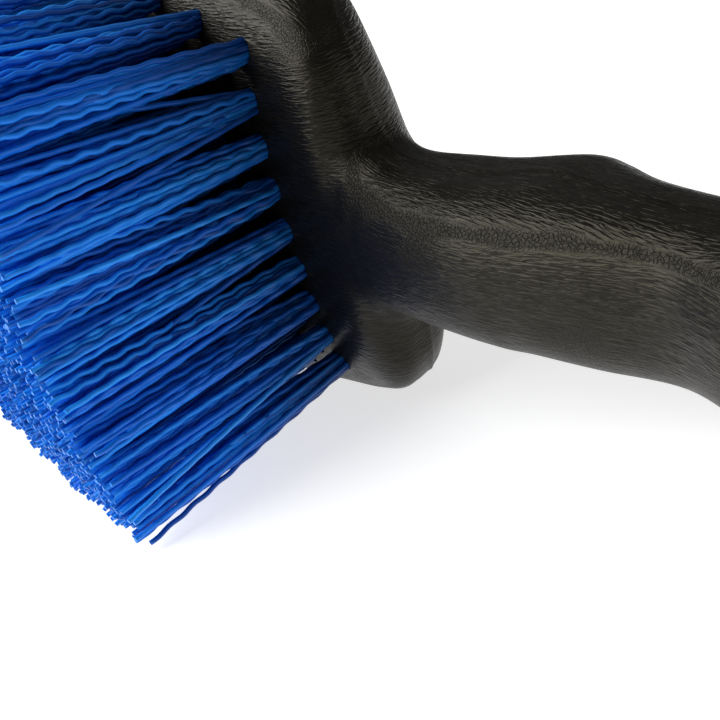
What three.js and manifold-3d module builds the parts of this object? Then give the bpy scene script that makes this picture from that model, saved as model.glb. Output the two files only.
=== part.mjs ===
// Wheel brush: one moulded body (block and handle) with staple-set bristle tufts.
// Brush frame, millimetres: +X from the toe to the hanging end, +Y out of the back,
// +Z across the width. x = 0 is the heel row of tufts and y = 0 is the bristle face.
// The finished brush is turned by lean and dip, so that it lies on its side on three points:
// bristle tips, the widest part of the block and the hanging end of the handle.
import * as THREE from 'three';
import * as BufferGeometryUtils from 'three/addons/utils/BufferGeometryUtils.js';
import Module from 'manifold-3d';

const wasm = await Module();
wasm.setup();

// Driving dimensions.
const rowCount = 13;
const rowPitch = 8;
const tuftPitch = 8.4;
const rootDiameter = 4.8;
const holeDiameter = 5.4;
const holeDepth = 12;
const bristleLength = 56;
const crownRadius = 180;
const fanRate = 0.55;
const toeSplay = THREE.MathUtils.degToRad(9);
const rowBow = 1.9;
const edgeMargin = 11.8;
const drillStart = 6;
const tuftGap = 0.3;
const tipSpread = { separate: 0.84, joined: 1.14 };
const anchorWire = { length: 4.8, height: 1.8, thickness: 0.5, rise: 1.4 };
const hang = { x: 146, diameter: 11, landStart: 134, landHeight: 21.5 };
const sides = { endRow: 8, innerRow: 6 };
const lean = THREE.MathUtils.degToRad(-0.53);
const dip = THREE.MathUtils.degToRad(13.01);

// Body outline from the toe to the hanging end.
// halfWidth is across z at the widest height; back and face are the heights of the back and bristle side.
const bodyStations = [
  { x: -110, halfWidth: 46, back: 18, face: 0 },
  { x: -84, halfWidth: 53, back: 21, face: 0 },
  { x: -52, halfWidth: 57, back: 24, face: 0 },
  { x: -26, halfWidth: 52.8, back: 25, face: 0 },
  { x: -8, halfWidth: 48.2, back: 25.3, face: 0 },
  { x: 4, halfWidth: 44.8, back: 25.2, face: 0 },
  { x: 11, halfWidth: 41.4, back: 24.8, face: 0 },
  { x: 16.2, halfWidth: 37, back: 24.4, face: -0.1 },
  { x: 19.4, halfWidth: 32, back: 24.2, face: -0.3 },
  { x: 21, halfWidth: 26, back: 24, face: -0.5 },
  { x: 22.6, halfWidth: 20.2, back: 24, face: -0.8 },
  { x: 25.8, halfWidth: 16.4, back: 24.2, face: -1.2 },
  { x: 32, halfWidth: 14.6, back: 25.2, face: -1.8 },
  { x: 46, halfWidth: 14.2, back: 28.4, face: -1.8 },
  { x: 56, halfWidth: 14.6, back: 32.6, face: -1 },
  { x: 61, halfWidth: 14.8, back: 33.8, face: 0 },
  { x: 66, halfWidth: 14.6, back: 32.4, face: 1 },
  { x: 75, halfWidth: 14.4, back: 29.4, face: 3 },
  { x: 90, halfWidth: 13.6, back: 28.5, face: 5.6 },
  { x: 106, halfWidth: 14, back: 28, face: 2.5 },
  { x: 122, halfWidth: 14.5, back: 27, face: 4.5 },
  { x: 140, halfWidth: 14.5, back: 26, face: 7 },
  { x: 158, halfWidth: 14, back: 25, face: 9 },
];
const ringPoints = 28;
const ringsPerStation = 2;
const endSteps = { shares: [0.0004, 0.003, 0.009, 0.02], clear: 0.024 };
const widestAt = 0.45;
const toeRound = { plan: 30, edge: 9 };
const endRound = { plan: 15, edge: 8 };
const squareness = { back: { block: 3.7, handle: 2.9 }, face: { block: 6, handle: 2.5 } };
const neck = { start: 4, end: 22 };
// How far the outline draws in from its widest height to the bristle side and to the back.
const drawIn = { face: 7, back: 9.5, widest: 0.42, acrossShare: 0.6, fadeStart: 14, fadeEnd: 40 };
const waist = { depth: 0.05, height: 0.55, spread: 0.2 };

const bodyMaterial = new THREE.MeshStandardMaterial({ color: 0x1a1714, roughness: 0.5, metalness: 0 });
const bristleMaterial = new THREE.MeshStandardMaterial({ color: 0x0b49b0, roughness: 0.45, metalness: 0 });
const anchorMaterial = new THREE.MeshStandardMaterial({ color: 0xb9bcc0, roughness: 0.35, metalness: 1 });

// A closed mesh through rings of equal length, with a fan of triangles over each end.
function loftRings(rings) {
  const count = rings[0].length;
  const centreOf = (ring) => ring.reduce((sum, p) => sum.add(p), new THREE.Vector3()).divideScalar(count);
  const points = [...rings.flat(), centreOf(rings[0]), centreOf(rings.at(-1))];
  const firstCentre = rings.length * count;
  const index = [];
  for (let k = 0; k < count; k++) {
    const next = (k + 1) % count;
    for (let r = 0; r < rings.length - 1; r++) {
      const near = r * count;
      const far = near + count;
      index.push(near + k, far + k, near + next, near + next, far + k, far + next);
    }
    const last = (rings.length - 1) * count;
    index.push(firstCentre, k, next, firstCentre + 1, last + next, last + k);
  }
  const geometry = new THREE.BufferGeometry();
  geometry.setAttribute('position', new THREE.Float32BufferAttribute(points.flatMap((p) => p.toArray()), 3));
  geometry.setIndex(index);
  return geometry;
}

// Conversions between three.js geometry and manifold solids, for joining and cutting.
function toSolid(geometry) {
  const bare = geometry.clone();
  bare.deleteAttribute('normal');
  bare.deleteAttribute('uv');
  const merged = BufferGeometryUtils.mergeVertices(bare);
  return new wasm.Manifold(new wasm.Mesh({
    numProp: 3,
    vertProperties: new Float32Array(merged.attributes.position.array),
    triVerts: new Uint32Array(merged.index.array),
  }));
}

function toGeometry(solid) {
  const mesh = solid.getMesh();
  const geometry = new THREE.BufferGeometry();
  geometry.setAttribute('position', new THREE.BufferAttribute(mesh.vertProperties, 3));
  geometry.setIndex(new THREE.BufferAttribute(mesh.triVerts, 1));
  geometry.computeVertexNormals();
  return geometry;
}

const joinAll = (solids) => solids.reduce((whole, solid) => whole.add(solid));

// How much of a full section is left at a distance past the start of a round end.
function roundEnd(past, radius) {
  return past <= 0 ? 1 : Math.sqrt(Math.max(0, 1 - (past / radius) ** 2));
}

// Two smooth curves through the stations, which share their x at every t.
function bodyCurves() {
  const through = (pick) => new THREE.CatmullRomCurve3(bodyStations.map(pick), false, 'catmullrom', 0.5);
  return {
    heights: through((s) => new THREE.Vector3(s.x, s.back, s.face)),
    widths: through((s) => new THREE.Vector3(s.x, s.halfWidth, 0)),
  };
}

// Gives the body's half width at any x, found by halving the stretch of the curve that holds it.
function bodyOutline() {
  const { widths } = bodyCurves();
  return (x) => {
    let low = 0;
    let high = 1;
    for (let step = 0; step < 30; step++) {
      const middle = (low + high) / 2;
      if (widths.getPoint(middle).x < x) low = middle;
      else high = middle;
    }
    return widths.getPoint(low).y;
  };
}

// How far the outline has drawn in at a share of the height from the bristle side to the back.
function drawnIn(share) {
  const onFace = share < drawIn.widest;
  const past = onFace ? 1 - share / drawIn.widest : (share - drawIn.widest) / (1 - drawIn.widest);
  return (onFace ? drawIn.face : drawIn.back) * (1 - Math.sqrt(Math.max(0, 1 - past ** 2)));
}

// One section of the body: a superellipse that is flat and crowned on the bristle side of the block,
// with round edges that draw in both across the body and along it.
function bodySection(x, back, face, halfWidthAt) {
  const toeX = bodyStations[0].x;
  const endX = bodyStations.at(-1).x;
  const plan = Math.min(roundEnd(toeX + toeRound.plan - x, toeRound.plan),
    roundEnd(x - endX + endRound.plan, endRound.plan));
  const edge = Math.min(roundEnd(toeX + toeRound.edge - x, toeRound.edge),
    roundEnd(x - endX + endRound.edge, endRound.edge));
  const onHandle = THREE.MathUtils.smoothstep(x, neck.start, neck.end);
  const backSquare = THREE.MathUtils.lerp(squareness.back.block, squareness.back.handle, onHandle);
  const faceSquare = THREE.MathUtils.lerp(squareness.face.block, squareness.face.handle, onHandle);
  const across = drawIn.acrossShare * (1 - THREE.MathUtils.smoothstep(x, drawIn.fadeStart, drawIn.fadeEnd));
  const middle = THREE.MathUtils.lerp(face, back, widestAt);
  const ring = [];
  for (let k = 0; k < ringPoints; k++) {
    const angle = (k / ringPoints) * 2 * Math.PI;
    const up = Math.sin(angle);
    const aside = Math.cos(angle);
    const square = up >= 0 ? backSquare : faceSquare;
    const reach = up >= 0 ? back - middle : middle - face;
    const y = middle + reach * edge * Math.sign(up) * Math.abs(up) ** (2 / square);
    const share = (y - face) / (back - face);
    const inset = drawnIn(share);
    const pinch = 1 - waist.depth * onHandle * Math.exp(-(((share - waist.height) / waist.spread) ** 2));
    const halfWidth = (halfWidthAt(Math.min(x + inset, endX)) - across * inset) * pinch * plan;
    const z = halfWidth * Math.sign(aside) * Math.abs(aside) ** (2 / square);
    ring.push(new THREE.Vector3(x, y + crownAt(z) * (1 - onHandle), z));
  }
  return ring;
}

function crownAt(z) {
  return z * z / (2 * crownRadius);
}

// Ring positions along the body: evenly through the stations and closer together in the round ends.
function bodyRings() {
  const { heights } = bodyCurves();
  const halfWidthAt = bodyOutline();
  const parts = (bodyStations.length - 1) * ringsPerStation;
  const inner = Array.from({ length: parts - 1 }, (_, k) => (k + 1) / parts)
    .filter((t) => t > endSteps.clear && t < 1 - endSteps.clear);
  const places = [...endSteps.shares, ...inner, ...endSteps.shares.map((t) => 1 - t).reverse()];
  return places.map((t) => {
    const height = heights.getPoint(t);
    return bodySection(height.x, height.y, height.z, halfWidthAt);
  });
}

// Half of the width that the centres of the outermost tufts span at x.
function rowHalfSpan(x) {
  return bodyOutline()(x) * roundEnd(bodyStations[0].x + toeRound.plan - x, toeRound.plan) - edgeMargin;
}

// Where each tuft of a row stands and which way it points. Odd rows sit half a pitch over.
function rowTufts(row) {
  const x = -row * rowPitch;
  const fullSpan = rowHalfSpan(x - rowBow);
  const fullCount = 2 * Math.round(fullSpan / tuftPitch) + 1;
  const pitch = 2 * fullSpan / (fullCount - 1);
  const count = row % 2 === 0 ? fullCount : fullCount - 1;
  const splay = toeSplay * (row / (rowCount - 1)) ** 2;
  return Array.from({ length: count }, (_, k) => {
    const z = (k - (count - 1) / 2) * pitch;
    const fan = Math.asin(z / crownRadius) * fanRate;
    const bow = rowBow * (z / (4 * tuftPitch)) ** 2;
    return {
      foot: new THREE.Vector3(x - bow, crownAt(z), z),
      turn: new THREE.Quaternion().setFromEuler(new THREE.Euler(-fan, 0, -splay, 'ZXY')),
      pitch,
      sides: row === 0 || row === rowCount - 1 ? sides.endRow : sides.innerRow,
    };
  });
}

// A many-sided bar along a tuft; levels hold how far down each ring is and its half sizes.
function tuftBar(tuft, levels) {
  const rings = levels.map(({ down, halfX, halfZ }) => Array.from({ length: tuft.sides }, (_, k) => {
    const angle = ((k + 0.5) / tuft.sides) * 2 * Math.PI;
    const point = new THREE.Vector3(halfX * Math.cos(angle), -down, -halfZ * Math.sin(angle));
    return point.applyQuaternion(tuft.turn).add(tuft.foot);
  }));
  return loftRings(rings);
}

function drilledHole(tuft) {
  const half = holeDiameter / 2;
  return toSolid(tuftBar(tuft, [
    { down: -holeDepth, halfX: half, halfZ: half },
    { down: drillStart, halfX: half, halfZ: half },
  ]));
}

// The bundle of bristles: a round root in its hole that spreads out to the working face.
function tuftSolid(tuft, spread) {
  const root = rootDiameter / 2;
  const tipHalfX = rowPitch / 2 - tuftGap / 2;
  const tipSpacing = tuft.pitch * (1 + fanRate * bristleLength / crownRadius);
  return toSolid(tuftBar(tuft, [
    { down: -(holeDepth - tuftGap), halfX: root, halfZ: root },
    { down: 0, halfX: root, halfZ: root },
    { down: bristleLength, halfX: tipHalfX, halfZ: spread * tipSpacing / 2 },
  ]));
}

// A flat wire anchor across the root, and the wider slot that the folded bristles leave for it.
function anchorBox(tuft, margin, length) {
  const geometry = new THREE.BoxGeometry(
    anchorWire.thickness + 2 * margin, anchorWire.height + 2 * margin, length);
  geometry.translate(0, holeDepth - tuftGap - anchorWire.rise - anchorWire.height / 2, 0);
  geometry.applyQuaternion(tuft.turn);
  geometry.translate(...tuft.foot.toArray());
  return geometry;
}

function namedMesh(name, geometry, material) {
  const mesh = new THREE.Mesh(geometry, material);
  mesh.name = name;
  return mesh;
}

// The moulding: block and handle with drilled tuft holes, a hanging hole and a flat land round it,
// whose cut runs out up the back at 45 degrees.
function mouldedBody(tufts) {
  const past = 60;
  const landCut = new THREE.Shape([
    new THREE.Vector2(hang.landStart, hang.landHeight),
    new THREE.Vector2(hang.landStart + past, hang.landHeight),
    new THREE.Vector2(hang.landStart + past, hang.landHeight + past),
    new THREE.Vector2(hang.landStart - past, hang.landHeight + past),
  ]);
  const land = new THREE.ExtrudeGeometry(landCut, { depth: past, bevelEnabled: false });
  land.translate(0, 0, -past / 2);
  const hole = new THREE.CylinderGeometry(hang.diameter / 2, hang.diameter / 2, 2 * past, 20);
  hole.translate(hang.x, 0, 0);
  const solid = toSolid(loftRings(bodyRings()))
    .subtract(joinAll(tufts.map(drilledHole)))
    .subtract(toSolid(land))
    .subtract(toSolid(hole));
  return namedMesh('moulded_body', toGeometry(solid), bodyMaterial);
}

// The heel and toe rows tuft by tuft, each with its wire anchor.
function separateTufts(rowName, tufts) {
  return tufts.flatMap((tuft, k) => {
    const slot = toSolid(anchorBox(tuft, tuftGap, 2 * rootDiameter));
    const bundle = tuftSolid(tuft, tipSpread.separate).subtract(slot);
    return [
      namedMesh(`${rowName}_tuft_${k + 1}`, toGeometry(bundle), bristleMaterial),
      namedMesh(`${rowName}_anchor_${k + 1}`, anchorBox(tuft, 0, anchorWire.length), anchorMaterial),
    ];
  });
}

// An inner row, whose tufts run into each other as they spread.
function joinedRow(row, tufts) {
  const bundle = joinAll(tufts.map((tuft) => tuftSolid(tuft, tipSpread.joined)));
  return namedMesh(`bristle_row_${row + 1}`, toGeometry(bundle), bristleMaterial);
}

function wheelBrush() {
  const rows = Array.from({ length: rowCount }, (_, row) => rowTufts(row));
  const brush = new THREE.Group();
  brush.add(mouldedBody(rows.flat()));
  brush.add(...separateTufts('heel', rows[0]));
  rows.slice(1, -1).forEach((tufts, k) => brush.add(joinedRow(k + 1, tufts)));
  brush.add(...separateTufts('toe', rows.at(-1)));
  return brush;
}

// Turn the brush onto its side, then put the middle of its underside at the origin.
const brush = wheelBrush();
brush.rotation.set(lean, dip, 0);
brush.updateMatrixWorld(true);
const box = new THREE.Box3().setFromObject(brush, true);
const middle = box.getCenter(new THREE.Vector3());
brush.position.set(-middle.x, -middle.y, -box.min.z);

const part = new THREE.Group();
part.add(brush);
export default part;
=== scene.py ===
import math
import bpy
import numpy as np
from mathutils import Matrix, Vector


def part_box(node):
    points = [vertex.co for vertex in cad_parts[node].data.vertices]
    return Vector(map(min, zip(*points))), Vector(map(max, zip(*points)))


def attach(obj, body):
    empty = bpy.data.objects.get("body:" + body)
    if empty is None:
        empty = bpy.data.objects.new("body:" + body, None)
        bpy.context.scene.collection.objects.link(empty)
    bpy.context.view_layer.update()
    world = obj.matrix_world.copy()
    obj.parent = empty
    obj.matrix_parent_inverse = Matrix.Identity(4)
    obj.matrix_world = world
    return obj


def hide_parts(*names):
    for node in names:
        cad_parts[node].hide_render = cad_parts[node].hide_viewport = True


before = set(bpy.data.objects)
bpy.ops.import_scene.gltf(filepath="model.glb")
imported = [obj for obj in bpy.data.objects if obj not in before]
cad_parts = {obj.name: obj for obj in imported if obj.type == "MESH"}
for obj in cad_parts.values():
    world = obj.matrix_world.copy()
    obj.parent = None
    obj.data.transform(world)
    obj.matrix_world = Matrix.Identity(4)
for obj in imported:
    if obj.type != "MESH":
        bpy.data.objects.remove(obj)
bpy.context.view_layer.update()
print("stage: frame loaded")

mm = 0.001

# How the brush lies on its side: turned by lean and dip, and placed by the middle anchor of the heel row.
# In its own frame x runs from the toe to the hanging end, y out of the back, z across the width, in mm.
lie = {
    "lean": math.radians(-0.53), "dip": math.radians(13.01),
    "anchorNode": "heel_anchor_5", "anchorDepth": 9.4,
}

tufts = {
    "rows": 13, "rowPitch": 8.0, "pitch": 8.4, "holeDiameter": 5.4, "holeDepth": 12.0, "holeSides": 20,
    "drillStart": 6.0, "crownRadius": 180.0, "fanRate": 0.55, "toeSplay": math.radians(9),
    "rowBow": 1.9, "bowPitches": 4, "edgeMargin": 11.8,
}


def linearColour(code):
    channels = [int(code[k:k + 2], 16) / 255 for k in (1, 3, 5)]
    return [c / 12.92 if c <= 0.04045 else ((c + 0.055) / 1.055) ** 2.4 for c in channels] + [1.0]


def addNode(tree, kind, settings=None, inputs=None):
    node = tree.nodes.new(kind)
    for name, value in (settings or {}).items():
        setattr(node, name, value)
    for socket, source in (inputs or {}).items():
        if isinstance(source, bpy.types.NodeSocket):
            tree.links.new(source, node.inputs[socket])
        else:
            node.inputs[socket].default_value = source
    return node


def newMaterial(name):
    material = bpy.data.materials.new(name)
    material.use_nodes = True
    tree = material.node_tree
    tree.nodes.clear()
    shader = addNode(tree, "ShaderNodeBsdfPrincipled")
    addNode(tree, "ShaderNodeOutputMaterial", None, {"Surface": shader.outputs["BSDF"]})
    return material, tree, shader


def newObject(name, mesh):
    piece = bpy.data.objects.new(name, mesh)
    bpy.context.collection.objects.link(piece)
    return piece


def bakeModifiers(piece, name):
    # What the modifiers make becomes the piece's own plain mesh.
    graph = bpy.context.evaluated_depsgraph_get()
    mesh = bpy.data.meshes.new_from_object(piece.evaluated_get(graph))
    piece.modifiers.clear()
    piece.data = mesh
    mesh.name = name


def smoothStep(x, low, high):
    share = min(1.0, max(0.0, (x - low) / (high - low)))
    return share * share * (3 - 2 * share)


brushTurn = Matrix.Rotation(lie["lean"], 3, "X") @ Matrix.Rotation(lie["dip"], 3, "Y")
anchorLow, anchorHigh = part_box(lie["anchorNode"])
anchorMiddle = (Vector(anchorLow) + Vector(anchorHigh)) / 2
brushOrigin = anchorMiddle - brushTurn @ Vector((0, lie["anchorDepth"] * mm, 0))


def inRoom(point):
    return brushTurn @ (Vector(point) * mm) + brushOrigin


# The camera stands past the handle on the bristle side; its place and directions are in the brush's frame.
camera = {
    "place": (181.5, -91.1, 85.1), "forward": (-0.7583, 0.4118, -0.5054), "up": (-0.2821, 0.4918, 0.8238),
    "lens": 55.0, "sensor": 36.0, "clipStart": 0.005,
}


def makeCamera():
    data = bpy.data.cameras.new("camera")
    data.lens = camera["lens"]
    data.sensor_width = camera["sensor"]
    data.clip_start = camera["clipStart"]
    piece = bpy.data.objects.new("camera", data)
    bpy.context.collection.objects.link(piece)
    forward = (brushTurn @ Vector(camera["forward"])).normalized()
    right = forward.cross(brushTurn @ Vector(camera["up"])).normalized()
    turn = Matrix((right, right.cross(forward), -forward)).transposed()
    piece.matrix_world = Matrix.Translation(inRoom(camera["place"])) @ turn.to_4x4()
    bpy.context.scene.camera = piece


makeCamera()
print("stage: camera")

# Outline of the moulding; the rows of tufts follow it too.
moulding = {
    "stations": [  # x, half width, back, face
        (-110, 46, 18, 0), (-84, 53, 21, 0), (-52, 57, 24, 0), (-26, 52.8, 25, 0), (-8, 48.2, 25.3, 0),
        (4, 44.8, 25.2, 0), (11, 41.4, 24.8, 0), (16.2, 37, 24.4, -0.1), (19.4, 32, 24.2, -0.3),
        (21, 26, 24, -0.5), (22.6, 20.2, 24, -0.8), (25.8, 16.4, 24.2, -1.2), (32, 14.6, 25.2, -1.8),
        (46, 14.2, 28.4, -1.8), (56, 14.6, 32.6, -1), (61, 14.8, 33.8, 0), (66, 14.6, 32.4, 1),
        (75, 14.4, 29.4, 3), (90, 13.6, 28.5, 5.6), (106, 14, 28, 2.5), (122, 14.5, 27, 4.5),
        (140, 14.5, 26, 7), (158, 14, 25, 9),
    ],
    "widestAt": 0.45, "toePlan": 30.0, "toeEdge": 9.0, "endPlan": 15.0, "endEdge": 8.0,
    "backSquareness": (3.7, 2.9), "faceSquareness": (6.0, 2.5), "neck": (4.0, 22.0),
    "drawInFace": 7.0, "drawInBack": 9.5, "drawInFrom": 0.42, "drawInAcross": 0.6,
    "drawInFade": (14.0, 40.0),
    "waistDepth": 0.05, "waistHeight": 0.55, "waistSpread": 0.2,
    "outlineSteps": 2001, "ringPoints": 128, "ringsPerStation": 8,
    "endShares": (0.0002, 0.0008, 0.002, 0.004),
    "partingIndex": 2, "partingRise": 0.28, "floorGap": 0.02,
    "hangX": 146.0, "hangDiameter": 11.0, "hangSides": 48,
    "landStart": 134.0, "landHeight": 21.5, "past": 60.0, "sharpAngle": math.radians(40),
}


def alongStations(t):
    stations = np.array(moulding["stations"], float)
    stations = np.vstack([2 * stations[0] - stations[1], stations, 2 * stations[-1] - stations[-2]])
    spans = len(moulding["stations"]) - 1
    k = min(int(t * spans), spans - 1)
    w = t * spans - k
    a, b, c, d = stations[k:k + 4]
    slopeIn, slopeOut = (c - a) / 2, (d - b) / 2
    return ((2 * b - 2 * c + slopeIn + slopeOut) * w ** 3
            + (-3 * b + 3 * c - 2 * slopeIn - slopeOut) * w ** 2 + slopeIn * w + b)


outline = np.array([alongStations(t)[:2] for t in np.linspace(0, 1, moulding["outlineSteps"])])


def halfWidthAt(x):
    return np.interp(x, outline[:, 0], outline[:, 1])


def roundEnd(past, radius):
    return 1.0 if past <= 0 else math.sqrt(max(0.0, 1 - (past / radius) ** 2))


def crownAt(z):
    return z * z / (2 * tufts["crownRadius"])


def drawnIn(share):
    # How far the outline has drawn in at a share of the height from the bristle face to the back.
    start = moulding["drawInFrom"]
    past = np.where(share < start, 1 - share / start, (share - start) / (1 - start))
    most = np.where(share < start, moulding["drawInFace"], moulding["drawInBack"])
    return most * (1 - np.sqrt(np.maximum(0, 1 - past ** 2)))


def mouldingSection(t):
    x, _, back, face = alongStations(t)
    toeX, endX = moulding["stations"][0][0], moulding["stations"][-1][0]
    plan = min(roundEnd(toeX + moulding["toePlan"] - x, moulding["toePlan"]),
               roundEnd(x - endX + moulding["endPlan"], moulding["endPlan"]))
    edge = min(roundEnd(toeX + moulding["toeEdge"] - x, moulding["toeEdge"]),
               roundEnd(x - endX + moulding["endEdge"], moulding["endEdge"]))
    onHandle = smoothStep(x, *moulding["neck"])
    blockBack, handleBack = moulding["backSquareness"]
    blockFace, handleFace = moulding["faceSquareness"]
    across = moulding["drawInAcross"] * (1 - smoothStep(x, *moulding["drawInFade"]))
    middle = face + (back - face) * moulding["widestAt"]
    angle = 2 * math.pi * np.arange(moulding["ringPoints"]) / moulding["ringPoints"]
    up, aside = np.sin(angle), np.cos(angle)
    square = np.where(up >= 0, blockBack + (handleBack - blockBack) * onHandle,
                      blockFace + (handleFace - blockFace) * onHandle)
    reach = np.where(up >= 0, back - middle, middle - face)
    y = middle + reach * edge * np.sign(up) * np.abs(up) ** (2 / square)
    share = (y - face) / (back - face)
    inset = drawnIn(share)
    pinch = np.exp(-((share - moulding["waistHeight"]) / moulding["waistSpread"]) ** 2)
    pinch = 1 - moulding["waistDepth"] * onHandle * pinch
    width = (halfWidthAt(np.minimum(x + inset, endX)) - across * inset) * pinch * plan
    z = width * np.sign(aside) * np.abs(aside) ** (2 / square)
    return np.stack([np.full(len(z), x), y + crownAt(z) * (1 - onHandle), z], axis=1)


def rowTufts(row):
    # Where each tuft of a row stands and which way it points. Odd rows sit half a pitch over.
    x = -row * tufts["rowPitch"]
    rowX = x - tufts["rowBow"]
    plan = roundEnd(moulding["stations"][0][0] + moulding["toePlan"] - rowX, moulding["toePlan"])
    halfSpan = halfWidthAt(rowX) * plan - tufts["edgeMargin"]
    fullCount = 2 * round(halfSpan / tufts["pitch"]) + 1
    pitch = 2 * halfSpan / (fullCount - 1)
    count = fullCount if row % 2 == 0 else fullCount - 1
    splay = tufts["toeSplay"] * (row / (tufts["rows"] - 1)) ** 2
    result = []
    for k in range(count):
        z = (k - (count - 1) / 2) * pitch
        fan = math.asin(z / tufts["crownRadius"]) * tufts["fanRate"]
        bow = tufts["rowBow"] * (z / (tufts["bowPitches"] * tufts["pitch"])) ** 2
        turn = Matrix.Rotation(-splay, 3, "Z") @ Matrix.Rotation(-fan, 3, "X")
        result.append({"foot": Vector((x - bow, crownAt(z), z)), "turn": turn})
    return result


blackMoulding = {
    # dark and light: near-black plastic, painted darker in the grain's hollows, lighter on its crests.
    "dark": "#030302", "light": "#14120d", "glossTint": "#fff6dc",
    "roughness": (0.42, 0.28), "specularLevel": 0.23, "ior": 1.49,
    "grainPitch": 0.38, "grainLength": 3.0, "crackSize": 0.75, "speckSize": 0.3, "patchSize": 14.0,  # mm
    "bumpHeight": 0.32, "sides": (0.45, 0.85), "corner": 0.45, "broken": (0.02, 0.32), "brokenMost": 0.9,
    "crackEdge": 0.16, "crackHeight": (0.1, 0.55), "speckShare": 0.55, "crests": (0.34, 0.66),
    "wrinkleNoise": {"Detail": 1.5, "Roughness": 0.5, "Distortion": 0.5},
    "speckNoise": {"Detail": 2.0, "Roughness": 0.6}, "patchNoise": {"Detail": 2.0},
}


def makeBlackMoulding():
    # Polypropylene from a grained mould: satin brown-black. Fine wrinkles run along the body, and where
    # its sides turn into its face and back they break up into cracks and specks. Its colour follows the
    # height of the grain: painted shade darkens the hollows and painted light brightens the crests. The
    # specular level is lower than the plastic's own, and is chosen for the look.
    grain = blackMoulding
    material, tree, shader = newMaterial("black_grained_polypropylene")
    place = addNode(tree, "ShaderNodeAttribute", {"attribute_name": "place"}).outputs["Vector"]
    sideways = addNode(tree, "ShaderNodeAttribute", {"attribute_name": "sideways"}).outputs["Fac"]
    longStep, shortStep = 1 / grain["grainLength"], 1 / grain["grainPitch"]
    wrinkles = []
    for scale in ((longStep, longStep, shortStep), (longStep, shortStep, longStep)):
        stretch = addNode(tree, "ShaderNodeMapping", None, {"Vector": place, "Scale": scale})
        wrinkles.append(addNode(tree, "ShaderNodeTexNoise", None, {
            "Vector": stretch.outputs["Vector"], "Scale": 1.0, **grain["wrinkleNoise"]}).outputs["Fac"])
    onSide = addNode(tree, "ShaderNodeMapRange", {"interpolation_type": "SMOOTHSTEP"}, {
        "Value": sideways, "From Min": grain["sides"][0], "From Max": grain["sides"][1]})
    lines = addNode(tree, "ShaderNodeMix", {"data_type": "FLOAT"}, {
        "Factor": onSide.outputs["Result"], "A": wrinkles[0], "B": wrinkles[1]})
    cracks = addNode(tree, "ShaderNodeTexVoronoi", {"feature": "DISTANCE_TO_EDGE"}, {
        "Vector": place, "Scale": 1 / grain["crackSize"], "Randomness": 1.0})
    crackDepth = addNode(tree, "ShaderNodeMapRange", None, {
        "Value": cracks.outputs["Distance"], "From Max": grain["crackEdge"],
        "To Min": grain["crackHeight"][0], "To Max": grain["crackHeight"][1]})
    specks = addNode(tree, "ShaderNodeTexNoise", None, {
        "Vector": place, "Scale": 1 / grain["speckSize"], **grain["speckNoise"]})
    rough = addNode(tree, "ShaderNodeMix", {"data_type": "FLOAT"}, {
        "Factor": grain["speckShare"], "A": crackDepth.outputs["Result"], "B": specks.outputs["Fac"]})
    offCorner = addNode(tree, "ShaderNodeMath", {"operation": "SUBTRACT"}, {
        0: onSide.outputs["Result"], 1: grain["corner"]})
    fromCorner = addNode(tree, "ShaderNodeMath", {"operation": "ABSOLUTE"}, {0: offCorner.outputs[0]})
    patches = addNode(tree, "ShaderNodeTexNoise", None, {
        "Vector": place, "Scale": 1 / grain["patchSize"], **grain["patchNoise"]})
    nearCorner = addNode(tree, "ShaderNodeMath", {"operation": "SUBTRACT"}, {
        0: patches.outputs["Fac"], 1: fromCorner.outputs[0]})
    broken = addNode(tree, "ShaderNodeMapRange", {"interpolation_type": "SMOOTHSTEP"}, {
        "Value": nearCorner.outputs[0], "From Min": grain["broken"][0], "From Max": grain["broken"][1],
        "To Max": grain["brokenMost"]})
    height = addNode(tree, "ShaderNodeMix", {"data_type": "FLOAT"}, {
        "Factor": broken.outputs["Result"], "A": lines.outputs["Result"], "B": rough.outputs["Result"]})
    bump = addNode(tree, "ShaderNodeBump", None, {
        "Strength": 1.0, "Distance": grain["bumpHeight"] * mm, "Height": height.outputs["Result"]})
    crest = addNode(tree, "ShaderNodeMapRange", None, {
        "Value": height.outputs["Result"], "From Min": grain["crests"][0], "From Max": grain["crests"][1]})
    # Painted shade in the grain's hollows and painted light on its crests, following the bump's height.
    tint = addNode(tree, "ShaderNodeMix", {"data_type": "RGBA"}, {
        "Factor": crest.outputs["Result"],
        "A": linearColour(grain["dark"]), "B": linearColour(grain["light"])})
    satin = addNode(tree, "ShaderNodeMapRange", None, {
        "Value": crest.outputs["Result"], "To Min": grain["roughness"][0], "To Max": grain["roughness"][1]})
    tree.links.new(tint.outputs["Result"], shader.inputs["Base Color"])
    tree.links.new(satin.outputs["Result"], shader.inputs["Roughness"])
    tree.links.new(bump.outputs["Normal"], shader.inputs["Normal"])
    shader.inputs["Specular Tint"].default_value = linearColour(grain["glossTint"])
    shader.inputs["Specular IOR Level"].default_value = grain["specularLevel"]
    shader.inputs["IOR"].default_value = grain["ior"]
    return material


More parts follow.
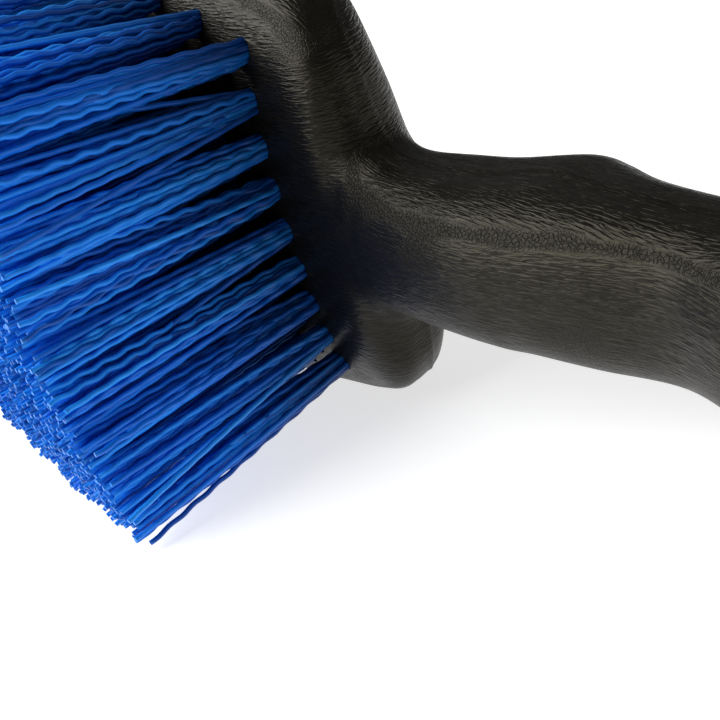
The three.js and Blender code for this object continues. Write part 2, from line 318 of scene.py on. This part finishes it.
def mouldingMesh():
    spans = (len(moulding["stations"]) - 1) * moulding["ringsPerStation"]
    ends = moulding["endShares"]
    places = [*ends, *(k / spans for k in range(1, spans)), *(1 - t for t in reversed(ends))]
    rings = [mouldingSection(t) for t in places]
    count = moulding["ringPoints"]
    points = [tuple(p) for ring in rings for p in ring]
    points += [tuple(rings[0].mean(axis=0)), tuple(rings[-1].mean(axis=0))]
    faces = []
    for k in range(count):
        after = (k + 1) % count
        for near in range(0, (len(rings) - 1) * count, count):
            faces.append((near + k, near + count + k, near + count + after, near + after))
        last = (len(rings) - 1) * count
        faces.append((len(points) - 2, k, after))
        faces.append((len(points) - 1, last + after, last + k))
    mesh = bpy.data.meshes.new("moulding")
    mesh.from_pydata([inRoom(p) for p in points], [], faces)
    raisePartingLine(mesh, len(rings))
    # Vertices that would lie under the floor are levelled just above it.
    for vertex in mesh.vertices:
        vertex.co.z = max(vertex.co.z, moulding["floorGap"] * mm)
    mesh.shade_smooth()
    return mesh


def raisePartingLine(mesh, ringCount):
    # The low ridge that the joint of the mould leaves round the body, just to the back of its widest part.
    count, index = moulding["ringPoints"], moulding["partingIndex"]
    normals = [v.vector.copy() for v in mesh.vertex_normals]
    for ring in range(len(moulding["endShares"]), ringCount - len(moulding["endShares"])):
        for k in (ring * count + index, ring * count + count // 2 - index):
            mesh.vertices[k].co += normals[k] * moulding["partingRise"] * mm


def prismMesh(name, near, far):
    # A closed prism between two outlines of the same number of points.
    count = len(near)
    faces = [tuple(reversed(range(count))), tuple(range(count, 2 * count))]
    faces += [(k, (k + 1) % count, count + (k + 1) % count, count + k) for k in range(count)]
    mesh = bpy.data.meshes.new(name)
    mesh.from_pydata([inRoom(p) for p in near + far], [], faces)
    return mesh


def circlePoints(radius, depth, count):
    angles = [2 * math.pi * k / count for k in range(count)]
    return [Vector((radius * math.cos(a), depth, -radius * math.sin(a))) for a in angles]


def mouldingCuts(rows):
    cuts = []
    radius, sides = tufts["holeDiameter"] / 2, tufts["holeSides"]
    for tuft in (t for row in rows for t in row):
        ends = [[tuft["foot"] + tuft["turn"] @ p for p in circlePoints(radius, depth, sides)]
                for depth in (-tufts["drillStart"], tufts["holeDepth"])]
        cuts.append(prismMesh("hole", *ends))
    past, radius = moulding["past"], moulding["hangDiameter"] / 2
    middle = Vector((moulding["hangX"], 0, 0))
    ends = [[middle + p for p in circlePoints(radius, depth, moulding["hangSides"])]
            for depth in (-past, past)]
    cuts.append(prismMesh("hole", *ends))
    start, height = moulding["landStart"], moulding["landHeight"]
    land = [[(start, height, z), (start + past, height, z), (start + past, height + past, z),
             (start - past, height + past, z)] for z in (-past, past)]
    cuts.append(prismMesh("land", *land))
    return cuts


def joinMeshes(name, meshes):
    points, faces = [], []
    for mesh in meshes:
        faces += [tuple(len(points) + v for v in face.vertices) for face in mesh.polygons]
        points += [v.co.copy() for v in mesh.vertices]
    joined = bpy.data.meshes.new(name)
    joined.from_pydata(points, [], faces)
    return joined


def addGrainPlace(mesh):
    # Each point's place in the brush's own frame, in mm, and how far its surface faces sideways.
    turn = np.array(brushTurn)
    places = np.array([v.co for v in mesh.vertices]) - np.array(brushOrigin)
    normals = np.array([v.vector for v in mesh.vertex_normals])
    place = mesh.attributes.new("place", "FLOAT_VECTOR", "POINT")
    place.data.foreach_set("vector", (places @ turn / mm).ravel())
    sideways = mesh.attributes.new("sideways", "FLOAT", "POINT")
    sideways.data.foreach_set("value", np.abs(normals @ turn)[:, 2])


def makeMoulding(rows):
    piece = newObject("moulding", mouldingMesh())
    cutter = newObject("cutter", joinMeshes("cutter", mouldingCuts(rows)))
    cut = piece.modifiers.new("holes", "BOOLEAN")
    cut.operation = "DIFFERENCE"
    cut.solver = "EXACT"
    cut.object = cutter
    bakeModifiers(piece, "moulding")
    bpy.data.objects.remove(cutter)
    piece.data.materials.clear()
    piece.data.materials.append(makeBlackMoulding())
    piece.data.polygons.foreach_set("material_index", [0] * len(piece.data.polygons))
    piece.data.set_sharp_from_angle(angle=moulding["sharpAngle"])
    addGrainPlace(piece.data)
    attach(piece, "root")
    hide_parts("moulded_body")


rows = [rowTufts(row) for row in range(tufts["rows"])]
makeMoulding(rows)
print("stage: moulding")

blueBristle = {
    "deep": "#024ba6", "main": "#0670e6", "light": "#1e92fa", "cutEnd": "#2180dc", "roughness": 0.38,
    "specularLevel": 0.3, "ior": 1.49, "rootShade": 0.26, "rootFade": 0.7, "cutFrom": 0.985, "cutMost": 0.7,
    "strayPower": 7.0, "crimpScatter": (0.9, 0.9, 0.0), "phaseScatter": 1.7, "paceScatter": 0.14,
    "lengths": {  # mm
        "Bristle length": 56.0, "Length spread": 1.1, "Bristle radius": 0.54, "Root radius": 2.1,
        "Start depth": 5.0, "Tip spread along": 3.6, "Tip spread across": 4.8, "Wander": 1.4,
        "Stray reach": 8.0, "Bend": 1.8, "Crimp length": 5.7, "Crimp height": 0.18, "Floor gap": 0.6,
    },
    "counts": {"Bristles per tuft": 20, "Curve points": 50, "Sides": 4, "Seed": 1},
    "heelRow": {"Bristles per tuft": 24, "Curve points": 60, "Sides": 6,
                "Stray reach": 11 * mm, "Wander": 1.9 * mm, "Bend": 2.4 * mm},
    "seedStep": 100, "tuftSeed": 11,
}


def makeBlueBristle():
    # Extruded and crimped polypropylene: saturated blue with a waxy gloss, paler where it was cut. It
    # darkens towards the roots, to stand in for the shade that packed bristles throw on one another.
    material, tree, shader = newMaterial("blue_crimped_polypropylene")
    shade = addNode(tree, "ShaderNodeAttribute", {"attribute_name": "shade"})
    reach = addNode(tree, "ShaderNodeAttribute", {"attribute_name": "reach"})
    colour = addNode(tree, "ShaderNodeValToRGB", None, {"Fac": shade.outputs["Fac"]})
    ramp = colour.color_ramp
    ramp.elements[0].color = linearColour(blueBristle["deep"])
    ramp.elements[1].color = linearColour(blueBristle["light"])
    ramp.elements.new(0.5).color = linearColour(blueBristle["main"])
    cut = addNode(tree, "ShaderNodeMapRange", None, {
        "Value": reach.outputs["Fac"], "From Min": blueBristle["cutFrom"], "From Max": 1.0,
        "To Max": blueBristle["cutMost"]})
    tinted = addNode(tree, "ShaderNodeMix", {"data_type": "RGBA"}, {
        "Factor": cut.outputs["Result"], "A": colour.outputs["Color"],
        "B": linearColour(blueBristle["cutEnd"])})
    rootShade = addNode(tree, "ShaderNodeMapRange", {"interpolation_type": "SMOOTHSTEP"}, {
        "Value": reach.outputs["Fac"], "From Max": blueBristle["rootFade"],
        "To Min": blueBristle["rootShade"]})
    shaded = addNode(tree, "ShaderNodeVectorMath", {"operation": "SCALE"}, {
        0: tinted.outputs["Result"], "Scale": rootShade.outputs["Result"]})
    tree.links.new(shaded.outputs[0], shader.inputs["Base Color"])
    shader.inputs["Roughness"].default_value = blueBristle["roughness"]
    shader.inputs["Specular IOR Level"].default_value = blueBristle["specularLevel"]
    shader.inputs["IOR"].default_value = blueBristle["ior"]
    return material


def bristleTree(material):
    tree = bpy.data.node_groups.new("bristles", "GeometryNodeTree")
    tree.interface.new_socket("Tuft feet", socket_type="NodeSocketGeometry")
    inputs = {}
    for name, value in blueBristle["lengths"].items():
        socket = tree.interface.new_socket(name, socket_type="NodeSocketFloat")
        socket.default_value = value * mm
        inputs[name] = socket.identifier
    for name, value in blueBristle["counts"].items():
        socket = tree.interface.new_socket(name, socket_type="NodeSocketInt")
        socket.default_value = value
        inputs[name] = socket.identifier
    tree.interface.new_socket("Bristles", in_out="OUTPUT", socket_type="NodeSocketGeometry")
    size = addNode(tree, "NodeGroupInput").outputs

    # Each foot gives its tuft's frame: z points out along the bristles and x lies across the rows.
    feet = {}
    for name, kind in (("aim", "FLOAT_VECTOR"), ("along", "FLOAT_VECTOR"), ("tuftPhase", "FLOAT")):
        named = addNode(tree, "GeometryNodeInputNamedAttribute", {"data_type": kind}, {"Name": name})
        feet[name] = named.outputs[0]
    foot = addNode(tree, "GeometryNodeInputPosition").outputs[0]
    turn = addNode(tree, "FunctionNodeAxesToRotation", {"primary_axis": "Z", "secondary_axis": "X"}, {
        0: feet["aim"], 1: feet["along"]}).outputs[0]
    copies = addNode(tree, "GeometryNodeDuplicateElements", {"domain": "POINT"}, {
        "Geometry": size["Tuft feet"], "Amount": size["Bristles per tuft"]})

    # Random vectors from -1 to 1, for what differs from bristle to bristle.
    jitter = {}
    for step, name in enumerate(("tip", "crimp", "bend", "mixed")):
        seed = addNode(tree, "ShaderNodeMath", {"operation": "ADD"}, {0: size["Seed"], 1: float(step)})
        jitter[name] = addNode(tree, "FunctionNodeRandomValue", {"data_type": "FLOAT_VECTOR"}, {
            0: (-1, -1, -1), 1: (1, 1, 1), "Seed": seed.outputs[0]}).outputs[0]
    mixed = addNode(tree, "ShaderNodeSeparateXYZ", None, {0: jitter["mixed"]}).outputs

    # A sunflower spiral sets the bristles evenly over the round root.
    share = addNode(tree, "ShaderNodeMath", {"operation": "DIVIDE"}, {
        0: copies.outputs["Duplicate Index"], 1: size["Bristles per tuft"]})
    radius = addNode(tree, "ShaderNodeMath", {"operation": "SQRT"}, {0: share.outputs[0]}).outputs[0]
    angle = addNode(tree, "ShaderNodeMath", {"operation": "MULTIPLY_ADD"}, {
        0: copies.outputs["Duplicate Index"], 1: math.pi * (3 - math.sqrt(5)),
        2: feet["tuftPhase"]}).outputs[0]
    cosine = addNode(tree, "ShaderNodeMath", {"operation": "COSINE"}, {0: angle})
    sine = addNode(tree, "ShaderNodeMath", {"operation": "SINE"}, {0: angle})
    u = addNode(tree, "ShaderNodeMath", {"operation": "MULTIPLY"}, {0: cosine.outputs[0], 1: radius})
    v = addNode(tree, "ShaderNodeMath", {"operation": "MULTIPLY"}, {0: sine.outputs[0], 1: radius})
    spot = addNode(tree, "ShaderNodeCombineXYZ", None, {
        0: u.outputs[0], 1: v.outputs[0], 2: 1.0}).outputs[0]
    down = addNode(tree, "ShaderNodeMath", {"operation": "MULTIPLY"}, {0: size["Start depth"], 1: -1.0})
    rootSize = addNode(tree, "ShaderNodeCombineXYZ", None, {
        0: size["Root radius"], 1: size["Root radius"], 2: down.outputs[0]})
    tipSize = addNode(tree, "ShaderNodeCombineXYZ", None, {
        0: size["Tip spread along"], 1: size["Tip spread across"], 2: size["Bristle length"]})

    # A few bristles stray far from their tuft: a high power keeps most of the random values near nought.
    stray = addNode(tree, "ShaderNodeMath", {"operation": "POWER"}, {
        0: mixed[0], 1: blueBristle["strayPower"]})
    wander = addNode(tree, "ShaderNodeMath", {"operation": "MULTIPLY_ADD"}, {
        0: stray.outputs[0], 1: size["Stray reach"], 2: size["Wander"]}).outputs[0]
    wanderSize = addNode(tree, "ShaderNodeCombineXYZ", None, {
        0: wander, 1: wander, 2: size["Length spread"]})
    root = addNode(tree, "ShaderNodeVectorMath", {"operation": "MULTIPLY"}, {
        0: spot, 1: rootSize.outputs[0]})
    tip = addNode(tree, "ShaderNodeVectorMath", {"operation": "MULTIPLY"}, {0: spot, 1: tipSize.outputs[0]})
    tip = addNode(tree, "ShaderNodeVectorMath", {"operation": "MULTIPLY_ADD"}, {
        0: jitter["tip"], 1: wanderSize.outputs[0], 2: tip.outputs[0]})

    # A tuft's bristles share a crimp direction, as they were cut from one hank, and each strays from it.
    crimpTurnX = addNode(tree, "ShaderNodeMath", {"operation": "COSINE"}, {0: feet["tuftPhase"]})
    crimpTurnY = addNode(tree, "ShaderNodeMath", {"operation": "SINE"}, {0: feet["tuftPhase"]})
    crimp = addNode(tree, "ShaderNodeCombineXYZ", None, {
        0: crimpTurnX.outputs[0], 1: crimpTurnY.outputs[0]})
    crimp = addNode(tree, "ShaderNodeVectorMath", {"operation": "MULTIPLY_ADD"}, {
        0: jitter["crimp"], 1: blueBristle["crimpScatter"], 2: crimp.outputs[0]})
    crimp = addNode(tree, "ShaderNodeVectorMath", {"operation": "SCALE"}, {
        0: crimp.outputs[0], "Scale": size["Crimp height"]})
    bend = addNode(tree, "ShaderNodeVectorMath", {"operation": "SCALE"}, {
        0: jitter["bend"], "Scale": size["Bend"]})
    points = copies.outputs["Geometry"]
    for name, vector in (("root", root), ("tip", tip), ("crimp", crimp), ("bend", bend)):
        turned = addNode(tree, "FunctionNodeRotateVector", None, {0: vector.outputs[0], 1: turn})
        if name in ("root", "tip"):
            turned = addNode(tree, "ShaderNodeVectorMath", {"operation": "ADD"}, {
                0: turned.outputs[0], 1: foot})
        points = addNode(tree, "GeometryNodeStoreNamedAttribute", {
            "data_type": "FLOAT_VECTOR", "domain": "POINT"}, {
            "Geometry": points, "Name": name, "Value": turned.outputs[0]}).outputs["Geometry"]

    # The angle the waves turn through along a bristle, the angle they start at, and the lightness of
    # its blue from 0 to 1.
    fullLength = addNode(tree, "ShaderNodeMath", {"operation": "ADD"}, {
        0: size["Bristle length"], 1: size["Start depth"]})
    turns = addNode(tree, "ShaderNodeMath", {"operation": "DIVIDE"}, {
        0: fullLength.outputs[0], 1: size["Crimp length"]})
    pace = addNode(tree, "ShaderNodeMath", {"operation": "MULTIPLY_ADD"}, {
        0: mixed[1], 1: blueBristle["paceScatter"], 2: 1.0})
    turns = addNode(tree, "ShaderNodeMath", {"operation": "MULTIPLY"}, {
        0: turns.outputs[0], 1: pace.outputs[0]})
    waves = addNode(tree, "ShaderNodeMath", {"operation": "MULTIPLY"}, {
        0: turns.outputs[0], 1: 2 * math.pi})
    phase = addNode(tree, "ShaderNodeMath", {"operation": "MULTIPLY_ADD"}, {
        0: mixed[2], 1: blueBristle["phaseScatter"], 2: feet["tuftPhase"]})
    shade = addNode(tree, "ShaderNodeMath", {"operation": "MULTIPLY_ADD"}, {0: mixed[1], 1: 0.5, 2: 0.5})
    for name, value in (("waves", waves), ("phase", phase), ("shade", shade)):
        points = addNode(tree, "GeometryNodeStoreNamedAttribute", {
            "data_type": "FLOAT", "domain": "POINT"}, {
            "Geometry": points, "Name": name, "Value": value.outputs[0]}).outputs["Geometry"]

    # One straight curve is set on every point, then bent to run from its root to its tip in waves.
    line = addNode(tree, "GeometryNodeCurvePrimitiveLine")
    fine = addNode(tree, "GeometryNodeResampleCurve", None, {
        "Curve": line.outputs[0], "Count": size["Curve points"]})
    placed = addNode(tree, "GeometryNodeInstanceOnPoints", None, {
        "Points": points, "Instance": fine.outputs[0]})
    real = addNode(tree, "GeometryNodeRealizeInstances", None, {"Geometry": placed.outputs[0]})
    stored = {}
    for name, kind in (("root", "FLOAT_VECTOR"), ("tip", "FLOAT_VECTOR"), ("crimp", "FLOAT_VECTOR"),
                       ("bend", "FLOAT_VECTOR"), ("waves", "FLOAT"), ("phase", "FLOAT")):
        named = addNode(tree, "GeometryNodeInputNamedAttribute", {"data_type": kind}, {"Name": name})
        stored[name] = named.outputs[0]
    way = addNode(tree, "GeometryNodeSplineParameter").outputs["Factor"]
    waveAngle = addNode(tree, "ShaderNodeMath", {"operation": "MULTIPLY_ADD"}, {
        0: way, 1: stored["waves"], 2: stored["phase"]})
    wave = addNode(tree, "ShaderNodeMath", {"operation": "SINE"}, {0: waveAngle.outputs[0]})
    rest = addNode(tree, "ShaderNodeMath", {"operation": "SUBTRACT"}, {0: 1.0, 1: way})
    belly = addNode(tree, "ShaderNodeMath", {"operation": "MULTIPLY"}, {0: way, 1: rest.outputs[0]})
    span = addNode(tree, "ShaderNodeVectorMath", {"operation": "SUBTRACT"}, {
        0: stored["tip"], 1: stored["root"]})
    path = addNode(tree, "ShaderNodeVectorMath", {"operation": "MULTIPLY_ADD"}, {
        0: span.outputs[0], 1: way, 2: stored["root"]})
    path = addNode(tree, "ShaderNodeVectorMath", {"operation": "MULTIPLY_ADD"}, {
        0: stored["bend"], 1: belly.outputs[0], 2: path.outputs[0]})
    path = addNode(tree, "ShaderNodeVectorMath", {"operation": "MULTIPLY_ADD"}, {
        0: stored["crimp"], 1: wave.outputs[0], 2: path.outputs[0]})
    part = addNode(tree, "ShaderNodeSeparateXYZ", None, {0: path.outputs[0]}).outputs
    above = addNode(tree, "ShaderNodeMath", {"operation": "MAXIMUM"}, {0: part[2], 1: size["Floor gap"]})
    clear = addNode(tree, "ShaderNodeCombineXYZ", None, {0: part[0], 1: part[1], 2: above.outputs[0]})
    bent = addNode(tree, "GeometryNodeSetPosition", None, {
        "Geometry": real.outputs[0], "Position": clear.outputs[0]})
    reach = addNode(tree, "GeometryNodeStoreNamedAttribute", {"data_type": "FLOAT", "domain": "POINT"}, {
        "Geometry": bent.outputs[0], "Name": "reach", "Value": way})
    profile = addNode(tree, "GeometryNodeCurvePrimitiveCircle", {"mode": "RADIUS"}, {
        "Radius": size["Bristle radius"], "Resolution": size["Sides"]})
    swept = addNode(tree, "GeometryNodeCurveToMesh", None, {
        "Curve": reach.outputs[0], "Profile Curve": profile.outputs[0], "Fill Caps": True})
    smooth = addNode(tree, "GeometryNodeSetShadeSmooth", None, {"Geometry": swept.outputs[0]})
    whole = addNode(tree, "GeometryNodeRealizeInstances", None, {"Geometry": smooth.outputs[0]})
    finish = addNode(tree, "GeometryNodeSetMaterial", None, {
        "Geometry": whole.outputs[0], "Material": material})
    addNode(tree, "NodeGroupOutput", None, {0: finish.outputs[0]})
    return tree, inputs


def tuftFeetMesh(name, row, seed):
    mesh = bpy.data.meshes.new(name)
    mesh.from_pydata([inRoom(t["foot"]) for t in row], [], [])
    for label, axis in (("aim", (0, -1, 0)), ("along", (1, 0, 0))):
        vectors = [c for t in row for c in brushTurn @ (t["turn"] @ Vector(axis))]
        mesh.attributes.new(label, "FLOAT_VECTOR", "POINT").data.foreach_set("vector", vectors)
    phases = np.random.default_rng(seed).uniform(0, 2 * math.pi, len(row))
    mesh.attributes.new("tuftPhase", "FLOAT", "POINT").data.foreach_set("value", phases)
    return mesh


def makeBristleRow(index, row, tree, inputs, nodes):
    name = f"bristles_row_{index + 1}"
    piece = newObject(name, tuftFeetMesh(name, row, blueBristle["tuftSeed"] + index))
    grow = piece.modifiers.new("bristles", "NODES")
    grow.node_group = tree
    settings = {**blueBristle["counts"], **(blueBristle["heelRow"] if index == 0 else {}),
                "Seed": blueBristle["seedStep"] * (index + 1)}
    for label, value in settings.items():
        grow[inputs[label]] = value
    bakeModifiers(piece, name)
    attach(piece, "root")
    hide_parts(*nodes)


def makeBristles(rows):
    tree, inputs = bristleTree(makeBlueBristle())
    ends = {0: "heel", len(rows) - 1: "toe"}
    for index, row in enumerate(rows):
        nodes = [f"bristle_row_{index + 1}"]
        if index in ends:
            nodes = [f"{ends[index]}_tuft_{k + 1}" for k in range(len(row))]
        makeBristleRow(index, row, tree, inputs, nodes)


makeBristles(rows)
print("stage: bristles")

anchorWire = {
    "dark": "#9a9ea3", "light": "#c9ccd0", "roughness": (0.28, 0.48),
    "drawnPitch": 0.25, "drawnLength": 4.0,  # mm
    "drawnDetail": 2.0,
    "sizes": {"Wire height": 1.8, "Wire thickness": 0.5, "Wire length": 4.8, "Set depth": 9.4},  # mm
}


def makeAnchorWire():
    # Galvanised flat steel wire: bright, with faint drawing lines along it.
    material, tree, shader = newMaterial("galvanised_steel_wire")
    place = addNode(tree, "ShaderNodeTexCoord").outputs["Object"]
    longStep, shortStep = 1 / (anchorWire["drawnLength"] * mm), 1 / (anchorWire["drawnPitch"] * mm)
    stretch = addNode(tree, "ShaderNodeMapping", None, {
        "Vector": place, "Scale": (shortStep, shortStep, longStep)})
    streaks = addNode(tree, "ShaderNodeTexNoise", None, {
        "Vector": stretch.outputs["Vector"], "Scale": 1.0, "Detail": anchorWire["drawnDetail"]})
    rough = addNode(tree, "ShaderNodeMapRange", None, {
        "Value": streaks.outputs["Fac"],
        "To Min": anchorWire["roughness"][0], "To Max": anchorWire["roughness"][1]})
    tint = addNode(tree, "ShaderNodeMix", {"data_type": "RGBA"}, {
        "Factor": streaks.outputs["Fac"], "A": linearColour(anchorWire["dark"]),
        "B": linearColour(anchorWire["light"])})
    tree.links.new(rough.outputs["Result"], shader.inputs["Roughness"])
    tree.links.new(tint.outputs["Result"], shader.inputs["Base Color"])
    shader.inputs["Metallic"].default_value = 1.0
    return material


def anchorTree(material):
    tree = bpy.data.node_groups.new("wire_anchors", "GeometryNodeTree")
    tree.interface.new_socket("Tuft feet", socket_type="NodeSocketGeometry")
    for name, value in anchorWire["sizes"].items():
        tree.interface.new_socket(name, socket_type="NodeSocketFloat").default_value = value * mm
    tree.interface.new_socket("Anchors", in_out="OUTPUT", socket_type="NodeSocketGeometry")
    size = addNode(tree, "NodeGroupInput").outputs
    aim, along = (
        addNode(tree, "GeometryNodeInputNamedAttribute", {"data_type": "FLOAT_VECTOR"}, {"Name": name})
        for name in ("aim", "along"))
    turn = addNode(tree, "FunctionNodeAxesToRotation", {"primary_axis": "Z", "secondary_axis": "X"}, {
        0: aim.outputs[0], 1: along.outputs[0]})
    wireSize = addNode(tree, "ShaderNodeCombineXYZ", None, {
        0: size["Wire thickness"], 1: size["Wire length"], 2: size["Wire height"]})
    wire = addNode(tree, "GeometryNodeMeshCube", None, {"Size": wireSize.outputs[0]})
    depth = addNode(tree, "ShaderNodeVectorMath", {"operation": "SCALE"}, {
        0: aim.outputs[0], "Scale": size["Set depth"]})
    sunk = addNode(tree, "ShaderNodeVectorMath", {"operation": "SCALE"}, {
        0: depth.outputs[0], "Scale": -1.0})
    moved = addNode(tree, "GeometryNodeSetPosition", None, {
        "Geometry": size["Tuft feet"], "Offset": sunk.outputs[0]})
    placed = addNode(tree, "GeometryNodeInstanceOnPoints", None, {
        "Points": moved.outputs[0], "Instance": wire.outputs[0], "Rotation": turn.outputs[0]})
    whole = addNode(tree, "GeometryNodeRealizeInstances", None, {"Geometry": placed.outputs[0]})
    finish = addNode(tree, "GeometryNodeSetMaterial", None, {
        "Geometry": whole.outputs[0], "Material": material})
    addNode(tree, "NodeGroupOutput", None, {0: finish.outputs[0]})
    return tree


def makeAnchors(rows):
    wire = makeAnchorWire()
    for name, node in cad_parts.items():
        if "_anchor_" in name:
            node.data.materials.clear()
            node.data.materials.append(wire)
    inner = [tuft for row in rows[1:-1] for tuft in row]
    piece = newObject("inner_row_anchors", tuftFeetMesh("inner_row_anchors", inner, 0))
    grow = piece.modifiers.new("anchors", "NODES")
    grow.node_group = anchorTree(wire)
    bakeModifiers(piece, "inner_row_anchors")
    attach(piece, "root")


makeAnchors(rows)
print("stage: anchors")

studio = {
    "floorSize": 24.0, "floor": "#c2c2c1", "floorRoughness": 0.7, "floorGlow": 0.7, "world": 0.15,
    "sky": 4.2, "skyAngle": math.radians(60), "skyFrom": (-0.42, -0.7, 0.78),
}


def makeFloor():
    half = studio["floorSize"] / 2
    mesh = bpy.data.meshes.new("floor")
    corners = [(-half, -half, 0), (half, -half, 0), (half, half, 0), (-half, half, 0)]
    mesh.from_pydata(corners, [], [(0, 1, 2, 3)])
    material, tree, shader = newMaterial("white_acrylic_light_table")
    shader.inputs["Base Color"].default_value = linearColour(studio["floor"])
    shader.inputs["Roughness"].default_value = studio["floorRoughness"]
    shader.inputs["Emission Color"].default_value = (1, 1, 1, 1)
    shader.inputs["Emission Strength"].default_value = studio["floorGlow"]
    mesh.materials.append(material)
    newObject("floor", mesh)


def makeLight():
    # A wide soft light from above the toe and the bristles, and a dimmer even light from all round.
    scene = bpy.context.scene
    world = bpy.data.worlds.new("studio")
    world.use_nodes = True
    world.node_tree.nodes["Background"].inputs["Color"].default_value = (1, 1, 1, 1)
    world.node_tree.nodes["Background"].inputs["Strength"].default_value = studio["world"]
    scene.world = world
    data = bpy.data.lights.new("overhead", "SUN")
    data.energy = studio["sky"]
    data.angle = studio["skyAngle"]
    lamp = bpy.data.objects.new("overhead", data)
    bpy.context.collection.objects.link(lamp)
    lamp.rotation_euler = Vector(studio["skyFrom"]).to_track_quat("Z", "Y").to_euler()
    scene.view_settings.view_transform = "Standard"


makeFloor()
makeLight()
print("stage: studio")
